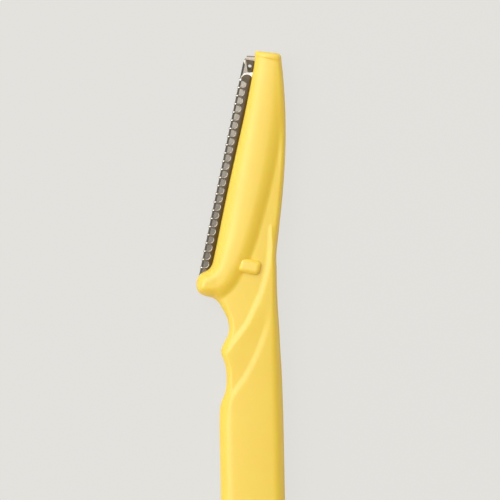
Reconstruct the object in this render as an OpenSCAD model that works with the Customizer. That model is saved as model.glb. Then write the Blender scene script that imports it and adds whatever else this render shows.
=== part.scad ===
// Eyebrow razor: a one-piece moulded handle round a blade strip that wears a folded guard.
// It lies on its back. +Z is up, +Y runs along the handle towards the tip of the blade, and
// the cutting edge is on the -X side. The origin is the middle of the plain handle's flat back.
// Ribs run across the handle from its left edge to its right edge, and the skin follows them.

/* [Handle] */
// Length of the plain handle, from its butt to the start of the finger grip
handle_len = 86.5; // [60:0.5:130]
// Width of the plain handle
handle_w = 10.9; // [9:0.1:14]
// Thickness of the handle, from its flat back to its front face
handle_t = 5.6; // [4.6:0.1:8]
// Height of the upright strip that runs round the edge of the handle
side_t = 0.9; // [0.7:0.05:1.6]
// Width of the rounding along the edges of the plain handle
edge_r = 2.8; // [1.5:0.1:3.5]
// Radius of the two corners of the butt, as seen from above
butt_r = 2.6; // [1.5:0.1:4]
// Rise of the crowned faces along their middle
crown = 0.35; // [0.1:0.01:0.4]

/* [Finger grip] */
// Length of the finger grip, from the plain handle to the heel of the blade
grip_len = 26.2; // [24:0.1:32]
// Depth of the deeper finger hollow in the left edge
finger_depth = 1.95; // [1:0.05:2.4]
// Depth of the waist in the right edge
waist_depth = 0.65; // [0.2:0.05:1.2]
// Width of the rounding along the edges of the grip and the spine
grip_r = 1.2; // [0.9:0.1:2]
// Drop from the handle's face to the web below the head
web_drop = 0.4; // [0.3:0.05:0.9]
// Depth of the scoop between the two ridges
scoop_drop = 0.32; // [0.2:0.02:0.5]
// Width of the slope that leads up to each ridge
ridge_w = 1.7; // [1.6:0.1:3]
// Length of the scoop's floor, across the ridges
scoop_reach = 5.5; // [4:0.1:7]

/* [Head] */
// Distance from the handle's axis to the guard's fold at the heel of the blade
heel_out = 8.3; // [7.6:0.1:9]
// Width of the head at its heel, from the guard's fold to the spine
head_w = 12.4; // [11.8:0.1:13.4]
// Length of the hook below the heel of the blade
hook_len = 3.7; // [3:0.1:4.4]
// Rise of the rounded leaf that holds the steel, above the web
leaf_rise = 0.85; // [0.5:0.05:1]
// Width of the leaf's shoulder
leaf_shoulder = 2.6; // [2:0.1:4]
// Width of the fillet at the foot of the shoulder
leaf_fillet = 0.35; // [0.2:0.05:0.6]
// Width of the rounding along the lip that the steel comes out of
lip_r = 4.6; // [3:0.1:5.5]
// Length along the blade over which that rounding grows to its full width
lip_grows = 12; // [12:0.5:28]
// Height of the upright strip along the lip
lip_t = 1.9; // [1.1:0.05:2]
// Thickness of the head at its tip
tip_t = 4.2; // [3.4:0.1:5.2]
// Plastic past the end of the steel
tip_over = 0.82; // [0.7:0.02:1.2]
// Radius of the rounding over the end of the tip
tip_r = 0.7; // [0.4:0.05:1]
// Length of the rim round the tip
rim_len = 1; // [0.6:0.05:1.4]
// Height of the rim above the leaf
rim_rise = 0.12; // [0.05:0.01:0.25]

/* [Cover stop] */
// Length of the nub that stops a slip-on cover
nub_len = 3.7; // [2.6:0.1:4.6]
// Width of the nub
nub_w = 2.4; // [2.2:0.1:3]
// Height of the nub above the web
nub_rise = 1.1; // [0.6:0.05:1.4]
// Radius of the nub's top edge
nub_r = 0.6; // [0.2:0.05:0.6]
// Radius of the nub's corners, as seen from above
nub_corner_r = 0.85; // [0.65:0.05:1.1]
// Distance of the nub's middle from the heel, along the blade
nub_up = 2.75; // [2:0.05:3.5]
// Distance of the nub's middle from the guard's fold
nub_in = 8.2; // [7.6:0.05:8.8]

/* [Blade] */
// Length of the blade strip, along its cutting edge
blade_len = 37.9; // [36:0.1:42]
// Width of the blade strip
blade_w = 5; // [4.2:0.1:5.4]
// Thickness of the blade strip
blade_t = 0.25; // [0.15:0.01:0.4]
// Lean of the cutting edge from the handle's axis, in degrees
blade_lean = 12.6; // [9:0.1:15]
// Width of steel that shows in front of the lip, its guard included
blade_show = 1.95; // [1.6:0.05:2.4]
// Width of the ground bevel on each side
bevel_w = 0.3; // [0.2:0.02:0.5]
// Slant of the end of the steel, in degrees
end_slant = 9.7; // [4:0.1:14]
// Length of the cut-off corner at the tip of the blade
corner_len = 0.45; // [0.3:0.05:0.6]
// Width of the cut-off corner
corner_w = 0.4; // [0.3:0.05:0.5]
// Width of the facets ground on the cut-off corner
corner_facet = 0.22; // [0.15:0.01:0.3]
// Distance that the steel stands out further at its heel than at its tip
steel_out = 0.16; // [0:0.01:0.3]
// Length of steel buried in the hook
heel_bury = 0.5; // [0.3:0.05:0.8]
// Diameter of the moulded pins that lock the blade
pin_d = 1.4; // [0.8:0.1:1.8]
// Distance between neighbouring pins
pin_pitch = 15; // [12:0.5:16]
// Distance from the guard's fold to the pins
pin_in = 3.8; // [3.5:0.1:4]

/* [Guard] */
// Thickness of the guard's sheet
sheet_t = 0.14; // [0.1:0.01:0.16]
// Gap between the blade and the toothed part of the guard, on each side
tooth_gap = 0.14; // [0.1:0.01:0.18]
// Width of the guard behind its fold
guard_w = 3; // [2.7:0.1:3.4]
// Number of windows in the guard
windows = 24; // [12:1:24]
// Distance between neighbouring windows
window_pitch = 1.42; // [1.2:0.01:1.44]
// Width of a window along the blade
window_w = 1.04; // [0.7:0.02:1.1]
// Depth of a window behind the fold
window_in = 1.3; // [0.9:0.05:1.4]
// Distance from the heel to the middle of the first window
window_start = 0.25; // [0.1:0.05:0.5]
// Radius of the arched end of the toothed part, inside its step
arch_r = 1.03; // [0.9:0.01:1.1]
// Distance of the middle of the arch from the fold
arch_in = 1.375; // [1.3:0.025:1.5]
// Distance of the tab's edge from the fold where it leaves the arch
tab_from = 1.15; // [1.05:0.05:1.3]
// Distance of the tab's free corner from the fold
tab_in = 0.54; // [0.5:0.02:0.7]
// Length of the flap that is folded over the tab
flap_len = 0.4; // [0.3:0.05:0.6]
// Length of the hole in the tab
hole_len = 0.98; // [0.8:0.02:1]
// Width of the hole in the tab
hole_w = 0.63; // [0.5:0.01:0.7]
// Distance from the end of the steel to the middle of the hole in the tab
hole_back = 1.6; // [1.4:0.05:1.65]
// Distance from the guard's fold to the middle of the hole in the tab
hole_in = 1.38; // [1.34:0.01:1.5]
// Shift of the blade's hole from the tab's, up the blade
hole_shift = 0.2; // [0:0.01:0.2]

/* [Hidden] */

// Gap between the blade and the guard where they lie close
fold_gap = 0.02;
// Gap between the moulded plastic and the steel
mould_gap = 0.01;
// Extra length of every cut, so that it passes its face
overrun = 1;

half_w = handle_w / 2;
half_t = handle_t / 2;
grip_y = handle_len / 2;
// Half thicknesses of the toothed part and of the tab
tooth_t = blade_t / 2 + tooth_gap + sheet_t;
tab_t = blade_t / 2 + fold_gap + sheet_t;
// Place of the cutting edge, and of the middle of the arch along the blade
edge_in = sheet_t + fold_gap;
arch_at = window_start + (windows - 0.5) * window_pitch;
// Fold over the slanted end of the steel: its inner radius, its height and where it starts
flap_low = tab_t + mould_gap;
fold_r = (flap_low + blade_t / 2 + fold_gap) / 2;
fold_z = flap_low - fold_r;
fold_at = blade_len - heel_bury + fold_gap - sqrt(fold_gap * (2 * fold_r - fold_gap));
steel_end = fold_at + fold_r + sheet_t + blade_show * tan(end_slant);
head_len = steel_end + tip_over;

// Shares of the grip's length between which the lower ridge fades out, and between which the
// handle's wide rounding narrows to the grip's
fade_from = 0.55;
fade_to = 0.8;
narrow_from = 0.05;
narrow_to = 0.3;

// Rings along the skin between two ribs of the tables, and steps across it
rib_steps = 3;
skin_steps = 20;
butt_steps = 5;
curve_steps = 3;

// Left edge of the grip: share of the grip's length, share of the finger hollow's depth.
// Right edge: share of the grip's length, share of the waist's depth.
grip_shares = [
    [0, 0, 0, 0],
    [0.1, 0.05, 0.09, 0.02],
    [0.155, 0.2, 0.14, 0.04],
    [0.21, 0.5, 0.2, 0.07],
    [0.26, 0.65, 0.26, 0.11],
    [0.325, 0.7, 0.32, 0.17],
    [0.39, 0.63, 0.38, 0.25],
    [0.44, 0.43, 0.43, 0.33],
    [0.49, 0.26, 0.47, 0.4],
    [0.545, 0.55, 0.52, 0.48],
    [0.595, 0.9, 0.565, 0.53],
    [0.64, 1, 0.6, 0.57],
    [0.69, 0.91, 0.635, 0.62],
    [0.73, 0.7, 0.67, 0.68],
    [0.77, 0.42, 0.7, 0.74],
];

// Hook: share of its length along the blade, share of the steel that shows.
// Right edge: share of the grip's length, share of the waist's depth.
hook_shares = [
    [-1.14, 2.08, 0.73, 0.8],
    [-1.01, 1.58, 0.76, 0.86],
    [-0.99, 0.96, 0.79, 0.91],
    [-0.93, 0.42, 0.815, 0.94],
    [-0.8, 0.1, 0.84, 0.96],
    [-0.56, -0.08, 0.865, 0.98],
    [-0.3, -0.1, 0.89, 0.99],
    [-0.14, 0, 0.91, 1],
    [0, 0.16, 0.93, 1],
    [0.13, 0.46, 0.95, 1],
    [0.25, 0.72, 0.97, 1],
    [0.42, 0.88, 0.99, 0.99],
    [0.62, 0.95, 1.015, 0.98],
];

// Lip: share of the head's length along the blade, share of the steel that shows.
// Spine: share of the head's length along the blade, share of the head's width.
head_shares = [
    [0.13, 0.98, 0.13, 0.99],
    [0.17, 0.98, 0.17, 0.972],
    [0.22, 0.98, 0.22, 0.958],
    [0.29, 0.98, 0.29, 0.938],
    [0.38, 0.99, 0.38, 0.911],
    [0.47, 1.01, 0.47, 0.878],
    [0.57, 1.05, 0.57, 0.834],
    [0.67, 1.09, 0.67, 0.778],
    [0.77, 1.11, 0.77, 0.71],
    [0.86, 1.1, 0.86, 0.637],
    [0.93, 1.07, 0.935, 0.568],
    [0.965, 1.02, 0.975, 0.528],
    [0.985, 0.95, 1, 0.502],
    [1, 0.93, 1.01, 0.46],
];

// Line at the foot of the leaf: share of the head's length, share of its width
valley_shares = [
    [1.1, 0.52], [0.95, 0.61], [0.83, 0.665], [0.72, 0.7], [0.59, 0.72], [0.46, 0.72],
    [0.33, 0.705], [0.2, 0.675], [0.1, 0.63], [0.03, 0.57], [-0.04, 0.48], [-0.09, 0.34],
    [-0.12, 0.1], [-0.15, -0.3],
];

// Line of the upper ridge, from the left edge up to its tip and down its far side:
// share of the handle's half width, share of the grip's length
upper_ridge_shares = [
    [-1.4, 0.41], [-0.78, 0.49], [-0.52, 0.552], [-0.13, 0.654], [0.12, 0.752], [0.38, 0.87],
    [0.57, 1], [0.67, 1.13], [0.72, 1.27], [0.77, 1.27], [0.84, 1.17], [0.92, 1.07], [1.2, 0.94],
];

// Line of the lower ridge, likewise
lower_ridge_shares = [
    [-1.2, -0.02], [-0.83, 0.08], [-0.68, 0.175], [-0.4, 0.258], [-0.1, 0.346], [0.21, 0.47],
    [0.42, 0.578], [0.56, 0.68], [0.66, 0.8],
];

// A point of the plan from its distance along the blade and behind the guard's fold
function by_blade(along, behind) = [
    -heel_out + along * sin(blade_lean) + behind * cos(blade_lean),
    grip_len + along * cos(blade_lean) - behind * sin(blade_lean)
];

// Points of a smooth curve through a list of points
function bend(a, b, c, d, t) =
    b + t / 2 * (c - a + t * (2 * a - 5 * b + 4 * c - d + t * (3 * (b - c) + d - a)));
function curve(points, steps) = [
    for (i = [0 : len(points) - 2]) for (k = [0 : steps - 1])
        bend(points[max(i - 1, 0)], points[i], points[i + 1],
            points[min(i + 2, len(points) - 1)], k / steps),
    points[len(points) - 1]
];

// Gap from a point to a line of points, and whether the point lies left of a line that
// runs up the plan and is closed far away on the right
function gap_to(p, a, b) =
    norm(p - a - (b - a) * min(max((p - a) * (b - a) / ((b - a) * (b - a)), 0), 1));
function gap(p, line) = min([for (i = [0 : len(line) - 2]) gap_to(p, line[i], line[i + 1])]);
function crossings(p, line) = len([
    for (i = [0 : len(line) - 1])
        let (a = line[i], b = line[(i + 1) % len(line)])
        if ((a.y > p.y) != (b.y > p.y) && p.x < a.x + (b.x - a.x) * (p.y - a.y) / (b.y - a.y)) 1
]);
function side_gap(p, ring) = (crossings(p, ring) % 2 == 1 ? 1 : -1) * gap(p, ring);

// Rounded corner from 0 to 1 that runs out softly, soft step from 0 to 1, and a fillet in
// place of a corner at 0
function round_up(t) = sqrt(1 - (1 - min(max(t, 0), 1)) ^ 3);
function ease(t) = let (c = min(max(t, 0), 1)) c * c * (3 - 2 * c);
function soften(d, r) = d < -r ? 0 : d > r ? d : (d + r) ^ 2 / (4 * r);

// Ribs from the butt to the tip, each a left and a right point in plan.
// Here y = 0 is where the finger grip starts.
butt_ribs = [
    for (k = [0 : butt_steps])
        let (a = 90 * k / butt_steps, x = half_w - butt_r + butt_r * sin(a),
            y = butt_r * (1 - cos(a)) - handle_len)
        [[-x, y], [x, y]]
];
shaped_ribs = curve([
    for (s = grip_shares) [
        [-half_w + s[1] * finger_depth, s[0] * grip_len],
        [half_w - s[3] * waist_depth, s[2] * grip_len]
    ],
    for (s = hook_shares) [
        by_blade(s[0] * hook_len, s[1] * blade_show),
        [half_w - s[3] * waist_depth, s[2] * grip_len]
    ],
    for (s = head_shares) [
        by_blade(s[0] * head_len, s[1] * blade_show),
        by_blade(s[2] * head_len, s[3] * head_w)
    ],
], rib_steps);
ribs = concat(butt_ribs, shaped_ribs);
left_edge = [for (r = ribs) r[0]];
right_edge = [for (r = ribs) r[1]];
butt_edge = ribs[0];
tip_edge = ribs[len(ribs) - 1];

// Closed regions: the leaf, the handle's face below the upper ridge, and the face below
// the lower ridge
far = handle_len + grip_len + head_len;
leaf_ring = concat(
    curve([for (s = valley_shares) by_blade(s[0] * head_len, s[1] * head_w)], curve_steps),
    [[-far, 0], [-far, far], [0, far]]
);
upper_ring = concat(
    curve([for (s = upper_ridge_shares) [s[0] * half_w, s[1] * grip_len]], curve_steps),
    [[far, 0], [far, -far], [-far, -far], [-far, 0]]
);
lower_ring = concat(
    curve([for (s = lower_ridge_shares) [s[0] * half_w, s[1] * grip_len]], curve_steps),
    [[far, grip_len], [far, -far], [-far, -far], [-far, 0]]
);

// Distance along the blade from its heel, for a point of the plan
function along_blade(p) =
    (p.x + heel_out) * sin(blade_lean) + (p.y - grip_len) * cos(blade_lean);

// Half thickness of the handle at a point, before its edges are rounded
function face(p) =
    let (
        along = along_blade(p),
        thin = 1 - (1 - tip_t / handle_t) * ease(along / head_len),
        upper = ease(0.5 - side_gap(p, upper_ring) / ridge_w),
        below = -side_gap(p, lower_ring),
        fade = 1 - ease((p.y / grip_len - fade_from) / (fade_to - fade_from)),
        scoop = ease(0.5 + below / ridge_w) * (1 - ease(below / scoop_reach)) * (1 - upper) * fade,
        leaf = 1 - (1 - min(soften(side_gap(p, leaf_ring), leaf_fillet) / leaf_shoulder, 1)) ^ 2,
        rim = rim_rise * ease((along - head_len + rim_len) / rim_len * 3)
    )
    thin * (half_t + crown * (1 - min(abs(p.x) / half_w, 1) ^ 2)
        - web_drop * upper - scoop_drop * scoop + leaf_rise * leaf) + rim;

// Half thickness at a point of a rib, a share of the way across it
function half_thickness(p, across) =
    let (
        at_lip = ease(along_blade(p) / hook_len),
        strip = side_t / 2 + (lip_t - side_t) / 2 * at_lip * (1 - across),
        narrow = ease((p.y / grip_len - narrow_from) / (narrow_to - narrow_from)),
        right_r = edge_r + (grip_r - edge_r) * narrow,
        lip_share = ease((along_blade(p) + hook_len) / (hook_len + lip_grows)),
        left_r = right_r + (lip_r - right_r) * lip_share,
        rounding = round_up(gap(p, left_edge) / left_r) * round_up(gap(p, right_edge) / right_r)
            * round_up(gap(p, butt_edge) / edge_r) * round_up(gap(p, tip_edge) / tip_r)
    )
    strip + (face(p) - strip) * rounding;

// Skin of the handle: a ring of points at each rib, over the front and back under the back
module skin() {
    front = [
        for (r = ribs) [
            for (k = [0 : skin_steps])
                let (across = (1 - cos(180 * k / skin_steps)) / 2, p = r[0] + (r[1] - r[0]) * across)
                [p.x, p.y, half_thickness(p, across)]
        ]
    ];
    ring = 2 * (skin_steps + 1);
    points = [
        for (row = front) each concat(
            row,
            [for (k = [skin_steps : -1 : 0]) [row[k].x, row[k].y, -row[k].z]]
        )
    ];
    last = len(ribs) - 1;
    faces = [
        for (i = [0 : last - 1]) for (k = [0 : ring - 1])
            let (a = i * ring + k, b = i * ring + (k + 1) % ring)
            each k < skin_steps
                ? [[a, a + ring, b + ring], [a, b + ring, b]]
                : [[a, a + ring, b], [b, a + ring, b + ring]],
        for (end = [0, last]) for (k = [0 : skin_steps - 1])
            let (
                a = end * ring + k,
                b = end * ring + ring - 1 - k,
                quad = end == 0 ? [a, a + 1, b - 1, b] : [b, b - 1, a + 1, a]
            )
            each [[quad[0], quad[1], quad[2]], [quad[0], quad[2], quad[3]]]
    ];
    polyhedron(points, faces, convexity = 10);
}

// Places the children, drawn with +X along the blade and +Y behind the guard's fold
module at_blade() {
    translate([0, grip_y, half_t])
        translate(by_blade(0, 0))
            rotate(90 - blade_lean)
                mirror([0, 1, 0])
                    children();
}

// Places the children likewise, with the steel's heel turned out of the lip a little
module at_steel() {
    at_blade()
        translate([0, -steel_out, 0])
            rotate(asin(steel_out / head_len))
                children();
}

// Round post whose top edge is rounded
module round_post(height, r, edge_r) {
    cylinder(height - edge_r, r = r, $fn = 24);
    translate([0, 0, height - edge_r])
        rotate_extrude($fn = 24)
            intersection() {
                translate([r - edge_r, 0])
                    circle(edge_r, $fn = 24);
                square([r, edge_r]);
            }
}

module nub() {
    translate([nub_up, nub_in, 0])
        hull()
            for (x = [-1, 1]) for (y = [-1, 1])
                translate([x * (nub_w / 2 - nub_corner_r), y * (nub_len / 2 - nub_corner_r), 0])
                    round_post(half_t - web_drop + nub_rise, nub_corner_r, nub_r);
}

// Pins that the plastic forms in the blade's holes
module pins(r) {
    for (i = [-1 : 1])
        translate([(steel_end - heel_bury) / 2 + i * pin_pitch, pin_in, -half_t / 2])
            cylinder(half_t, r = r, $fn = 32);
}

// Outline of a strip along the blade whose far end is slanted
module strip(start, end, low, high) {
    polygon([
        [start, low],
        [end + low * tan(end_slant), low],
        [end + high * tan(end_slant), high],
        [start, high],
    ]);
}

// Space that the steel takes in the plastic
module steel_space() {
    start = -heel_bury - mould_gap;
    difference() {
        translate([0, 0, -blade_t / 2 - mould_gap])
            linear_extrude(blade_t + 2 * mould_gap)
                strip(start, blade_len - heel_bury + mould_gap, -overrun,
                    edge_in + blade_w + mould_gap);
        pins(pin_d / 2);
    }
    translate([0, 0, -tab_t - mould_gap])
        linear_extrude(tab_t + flap_low + sheet_t + 2 * mould_gap)
            strip(start, fold_at + fold_r + sheet_t + mould_gap, -overrun, guard_w + mould_gap);
    translate([start, -overrun, -tooth_t - mould_gap])
        cube([arch_at + arch_r + sheet_t + mould_gap - start, overrun + guard_w + mould_gap,
            2 * (tooth_t + mould_gap)]);
}

module handle() {
    color("khaki")
        difference() {
            union() {
                translate([0, grip_y, half_t])
                    skin();
                at_blade()
                    nub();
            }
            at_steel()
                steel_space();
            translate([-handle_w, -handle_len, -handle_t])
                cube([2 * handle_w, 2 * far, handle_t]);
        }
}

module blade() {
    color("silver")
        at_steel()
            difference() {
                translate([-heel_bury, edge_in, 0])
                    rotate([90, 0, 90])
                        linear_extrude(blade_len + blade_w)
                            polygon([
                                [0, 0],
                                [bevel_w, blade_t / 2],
                                [blade_w, blade_t / 2],
                                [blade_w, -blade_t / 2],
                                [bevel_w, -blade_t / 2],
                            ]);
                pins(pin_d / 2 + mould_gap);
                translate([blade_len - heel_bury, 0, -blade_t])
                    rotate(-end_slant)
                        translate([0, -overrun, 0])
                            cube([2 * blade_w, 3 * blade_w, 2 * blade_t]);
                for (side = [0, 1])
                    mirror([0, 0, side])
                        corner_cut();
                tab_hole(hole_shift);
            }
}

// Space above the facet that is ground on one side of the blade's cut-off corner
module corner_cut() {
    low = edge_in + corner_w;
    translate([blade_len - heel_bury + low * tan(end_slant), low, 0])
        rotate(180 + atan2(corner_w, corner_len + corner_w * tan(end_slant)))
            rotate([-atan2(blade_t / 2, corner_facet), 0, 0])
                translate([-overrun, -overrun, 0])
                    cube([corner_len + corner_w + 2 * overrun, 2 * overrun, overrun]);
}

// Hole through the tab, or through the blade with a shift up the blade
module tab_hole(shift) {
    translate([fold_at - hole_back + shift, hole_in, -tab_t - overrun])
        linear_extrude(2 * (tab_t + overrun)) {
            for (side = [-1, 1])
                translate([side * (hole_len - hole_w) / 2, 0])
                    circle(d = hole_w, $fn = 32);
            translate([(hole_w - hole_len) / 2, -hole_w / 2])
                square([hole_len - hole_w, hole_w]);
        }
}

// Outline of the toothed part with its arched end. Its step is as thick as the sheet.
module tooth_face() {
    translate([-heel_bury, tooth_t])
        square([arch_at + sheet_t + heel_bury, guard_w - tooth_t]);
    intersection() {
        translate([arch_at, arch_in])
            circle(arch_r + sheet_t, $fn = 48);
        translate([arch_at, tooth_t])
            square([2 * arch_r, guard_w - tooth_t]);
    }
}

// Outline of the tab between the toothed part and the end of the steel
module tab_face() {
    polygon([
        [arch_at, guard_w],
        [arch_at, tab_from],
        [arch_at + arch_r + sheet_t, tab_from],
        [fold_at - flap_len, tab_in],
        [fold_at + tab_in * tan(end_slant), tab_in],
        [fold_at + guard_w * tan(end_slant), guard_w],
    ]);
}

// Section of the fold that comes round the end of the steel from the back, and its flap
module flap_section() {
    difference() {
        union() {
            circle(fold_r + sheet_t, $fn = 48);
            translate([-flap_len, -fold_r - sheet_t])
                square([flap_len, 2 * (fold_r + sheet_t)]);
        }
        circle(fold_r, $fn = 48);
        translate([-flap_len - overrun, -fold_r])
            square([flap_len + overrun, 2 * fold_r]);
    }
}

module flap() {
    translate([fold_at, 0, fold_z])
        rotate(-end_slant)
            translate([0, tab_in, 0])
                rotate([90, 0, 0])
                    mirror([0, 0, 1])
                        linear_extrude(guard_w - tab_in)
                            flap_section();
}

module guard() {
    color("lightgray")
        at_steel() {
            difference() {
                union() {
                    translate([0, 0, -tooth_t])
                        linear_extrude(2 * tooth_t)
                            tooth_face();
                    translate([-heel_bury, tooth_t, 0])
                        rotate([0, 90, 0])
                            cylinder(arch_at + heel_bury, r = tooth_t, $fn = 32);
                    translate([0, 0, -tab_t])
                        linear_extrude(2 * tab_t)
                            tab_face();
                }
                guard_inside();
                guard_windows();
                tab_hole(0);
            }
            flap();
        }
}

// Space inside the toothed part, its fold and the tab, up to the end of the front tab
module guard_inside() {
    translate([0, 0, sheet_t - tooth_t])
        linear_extrude(2 * (tooth_t - sheet_t)) {
            translate([-heel_bury - overrun, tooth_t])
                square([arch_at + heel_bury + overrun, guard_w]);
            translate([arch_at, arch_in])
                circle(arch_r, $fn = 48);
        }
    translate([-heel_bury - overrun, tooth_t, 0])
        rotate([0, 90, 0])
            cylinder(arch_at + heel_bury + overrun + tooth_t / 2, r = tooth_t - sheet_t, $fn = 48);
    translate([0, 0, sheet_t - tab_t])
        linear_extrude(2 * (tab_t - sheet_t))
            strip(arch_at - arch_r / 2, fold_at + overrun, tooth_t, guard_w + overrun);
    translate([fold_at - fold_r, 0, sheet_t - tab_t])
        rotate(-end_slant)
            translate([0, -overrun, 0])
                cube([overrun, guard_w + 3 * overrun, 2 * tab_t]);
}

// Row of D-shaped windows, open through the fold
module guard_windows() {
    for (i = [0 : windows - 1])
        translate([window_start + i * window_pitch, 0, -tooth_t - overrun]) {
            translate([-window_w / 2, -overrun, 0])
                cube([window_w, overrun + window_in - window_w / 2, 2 * (tooth_t + overrun)]);
            translate([0, window_in - window_w / 2, 0])
                cylinder(2 * (tooth_t + overrun), d = window_w, $fn = 32);
        }
}

handle();
blade();
guard();
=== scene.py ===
import math

import bmesh
import bpy
import numpy as np
from mathutils import Matrix, Vector


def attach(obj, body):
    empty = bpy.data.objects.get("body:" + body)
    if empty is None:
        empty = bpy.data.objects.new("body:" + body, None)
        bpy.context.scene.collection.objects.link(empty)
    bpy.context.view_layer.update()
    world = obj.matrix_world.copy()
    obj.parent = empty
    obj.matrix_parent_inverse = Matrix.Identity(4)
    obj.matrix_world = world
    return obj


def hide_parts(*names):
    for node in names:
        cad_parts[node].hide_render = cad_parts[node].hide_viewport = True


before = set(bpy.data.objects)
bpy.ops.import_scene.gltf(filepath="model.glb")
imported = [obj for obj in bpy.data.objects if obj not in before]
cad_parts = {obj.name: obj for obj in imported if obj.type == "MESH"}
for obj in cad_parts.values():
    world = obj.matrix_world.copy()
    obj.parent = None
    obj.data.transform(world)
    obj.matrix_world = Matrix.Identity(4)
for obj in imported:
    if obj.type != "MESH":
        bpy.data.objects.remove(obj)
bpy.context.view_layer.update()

mm = 0.001
scene = bpy.context.scene

# Blade
# A strip of stainless steel, ground on both sides to a straight edge and cut off at the corner
# of its tip. It is laid in the mould, and the handle's plastic locks it through three holes.
blade_lean = math.radians(12.6)
blade_t = 0.25 * mm
heel_bury = 0.5 * mm
heel_out = 8.3 * mm
grip_y = 43.25 * mm
grip_len = 26.2 * mm
handle_t = 5.6 * mm
half_t = handle_t / 2
head_len = 38.84 * mm
steel_out = 0.16 * mm
steel_lean = blade_lean + math.asin(steel_out / head_len)
steel_x = -heel_out - steel_out * math.cos(blade_lean)
steel_y = grip_y + grip_len + steel_out * math.sin(blade_lean)
line_stretch = 30


def steel_marks():
    """Fine lines that rolling and grinding leave along the steel, and dull spots from handling."""
    group = bpy.data.node_groups.new("steel_marks", "ShaderNodeTree")
    face = group.interface
    face.new_socket("Color", in_out="INPUT", socket_type="NodeSocketColor")
    for name in ("Roughness", "Line density", "Line depth", "Dullness"):
        face.new_socket(name, in_out="INPUT", socket_type="NodeSocketFloat")
    face.new_socket("Color", in_out="OUTPUT", socket_type="NodeSocketColor")
    face.new_socket("Roughness", in_out="OUTPUT", socket_type="NodeSocketFloat")
    face.new_socket("Normal", in_out="OUTPUT", socket_type="NodeSocketVector")
    nodes, links = group.nodes, group.links
    given, made = nodes.new("NodeGroupInput"), nodes.new("NodeGroupOutput")
    place = nodes.new("ShaderNodeTexCoord")
    turn = nodes.new("ShaderNodeMapping")
    turn.vector_type = "TEXTURE"
    turn.inputs["Rotation"].default_value = (0, 0, -steel_lean)
    turn.inputs["Scale"].default_value = (1, line_stretch, 1)
    lines = nodes.new("ShaderNodeTexNoise")
    lines.inputs["Detail"].default_value = 3
    bump = nodes.new("ShaderNodeBump")
    bump.inputs["Strength"].default_value = 0.5
    spots = nodes.new("ShaderNodeTexNoise")
    spots.inputs["Scale"].default_value = 1500
    spots.inputs["Detail"].default_value = 4
    spread = nodes.new("ShaderNodeMapRange")
    spread.inputs["From Min"].default_value = 0.35
    spread.inputs["From Max"].default_value = 0.7
    amount = nodes.new("ShaderNodeMath")
    amount.operation = "MULTIPLY"
    dark = nodes.new("ShaderNodeMix")
    dark.data_type = "RGBA"
    dark.blend_type = "MULTIPLY"
    dark.inputs["B"].default_value = (0.6, 0.57, 0.52, 1)
    rough = nodes.new("ShaderNodeMath")
    rough.operation = "MULTIPLY_ADD"
    rough.inputs[1].default_value = 0.25
    links.new(place.outputs["Object"], turn.inputs["Vector"])
    links.new(turn.outputs["Vector"], lines.inputs["Vector"])
    links.new(given.outputs["Line density"], lines.inputs["Scale"])
    links.new(lines.outputs["Fac"], bump.inputs["Height"])
    links.new(given.outputs["Line depth"], bump.inputs["Distance"])
    links.new(place.outputs["Object"], spots.inputs["Vector"])
    links.new(spots.outputs["Fac"], spread.inputs["Value"])
    links.new(spread.outputs["Result"], amount.inputs[0])
    links.new(given.outputs["Dullness"], amount.inputs[1])
    links.new(amount.outputs[0], dark.inputs["Factor"])
    links.new(given.outputs["Color"], dark.inputs["A"])
    links.new(amount.outputs[0], rough.inputs[0])
    links.new(given.outputs["Roughness"], rough.inputs[2])
    links.new(dark.outputs["Result"], made.inputs["Color"])
    links.new(rough.outputs[0], made.inputs["Roughness"])
    links.new(bump.outputs["Normal"], made.inputs["Normal"])
    return group


marks = steel_marks()


def steel_finish(name, colour, roughness, line_density, line_depth, dullness):
    """Bare stainless steel with its marks."""
    material = bpy.data.materials.new(name)
    material.use_nodes = True
    nodes, links = material.node_tree.nodes, material.node_tree.links
    steel = nodes["Principled BSDF"]
    steel.inputs["Metallic"].default_value = 1
    worn = nodes.new("ShaderNodeGroup")
    worn.node_tree = marks
    worn.inputs["Color"].default_value = (*colour, 1)
    worn.inputs["Roughness"].default_value = roughness
    worn.inputs["Line density"].default_value = line_density
    worn.inputs["Line depth"].default_value = line_depth
    worn.inputs["Dullness"].default_value = dullness
    links.new(worn.outputs["Color"], steel.inputs["Base Color"])
    links.new(worn.outputs["Roughness"], steel.inputs["Roughness"])
    links.new(worn.outputs["Normal"], steel.inputs["Normal"])
    return material


# The ground facet along the cutting edge is duller than the rolled face, and a painted dark
# reflection darkens its colour; it ends on a slant at the cut-off corner. Towards the tip the strip
# is painted a little brighter, a painted pool of light.
bevel_w = 0.52 * mm
bevel_blur = 0.02 * mm
bevel_stop = 37 * mm
corner_slant = 1.46
painted_light_from, painted_light_to = 12 * mm, 35 * mm
along_way = Vector((math.sin(steel_lean), math.cos(steel_lean), 0))
behind_way = Vector((math.cos(steel_lean), -math.sin(steel_lean), 0))
edge_in = steel_x * math.cos(steel_lean) - steel_y * math.sin(steel_lean)
heel_along = steel_x * math.sin(steel_lean) + steel_y * math.cos(steel_lean)
corner_in = heel_along + corner_slant * edge_in
blade_steel = steel_finish("ground_steel", (0.3, 0.28, 0.245), roughness=0.12, line_density=9000,
                           line_depth=0.0004 * mm, dullness=0.35)
nodes, links = blade_steel.node_tree.nodes, blade_steel.node_tree.links
steel, worn = nodes["Principled BSDF"], nodes["Group"]
place = nodes.new("ShaderNodeTexCoord")
corner = nodes.new("ShaderNodeVectorMath")
corner.operation = "DOT_PRODUCT"
corner.inputs[1].default_value = along_way + corner_slant * behind_way
stop = nodes.new("ShaderNodeMapRange")
stop.inputs["From Min"].default_value = bevel_stop + corner_in - bevel_blur
stop.inputs["From Max"].default_value = bevel_stop + corner_in
stop.inputs["To Min"].default_value = 1
stop.inputs["To Max"].default_value = 0
ground = nodes.new("ShaderNodeMath")
ground.operation = "MULTIPLY"
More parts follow.
